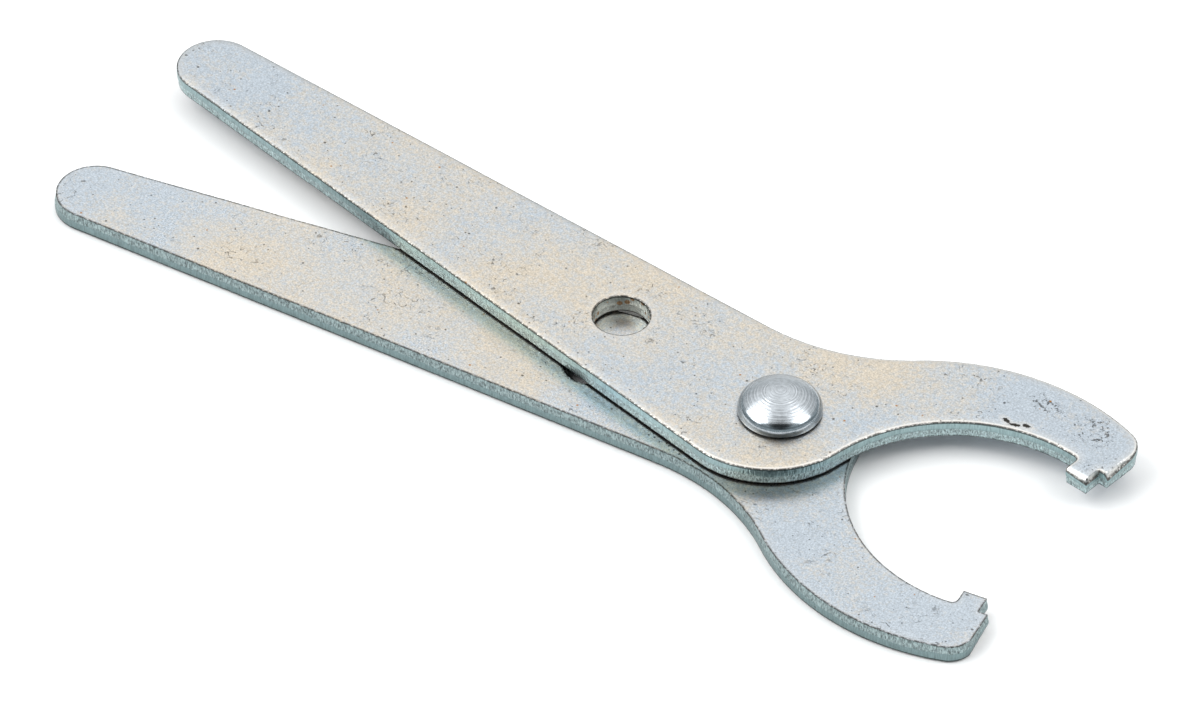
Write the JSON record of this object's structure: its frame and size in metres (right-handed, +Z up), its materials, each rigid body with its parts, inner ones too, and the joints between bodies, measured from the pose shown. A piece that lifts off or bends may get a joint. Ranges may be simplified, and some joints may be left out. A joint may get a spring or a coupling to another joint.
{
  "type": "case back opener",
  "caption": "Scissor-type watch case back opener: flat stamped steel levers that turn on a domed rivet, with stepped teeth facing each other at the jaw tips.",
  "frame": {"origin": "on the pivot's axis at the underside, where the rivet's tail is flush with the lower lever", "axes": "+X midway between the levers from the pivot to the jaws (handles towards -X), +Z up out of the rivet's head"},
  "size_m": [0.1522, 0.0504, 0.0095],
  "materials": {
    "upper_lever_plating": "dull plated sheet steel, die-rolled edges up, fine scratches",
    "lower_lever_plating": "dull plated sheet steel, sheared edges up",
    "rivet_steel": "turned bright steel with fine lathe rings"
  },
  "bodies": {
    "lower": {"lower_lever": "lower_lever_plating", "pivot_rivet": "rivet_steel"},
    "upper": {"upper_lever": "upper_lever_plating"}
  },
  "joints": [
    {"name": "lever_pivot", "type": "hinge", "parent": "lower", "child": "upper", "pos_m": [0, 0, 0.00435], "axis": [0, 0, 1], "range_deg": [-35, 16]}
  ]
}
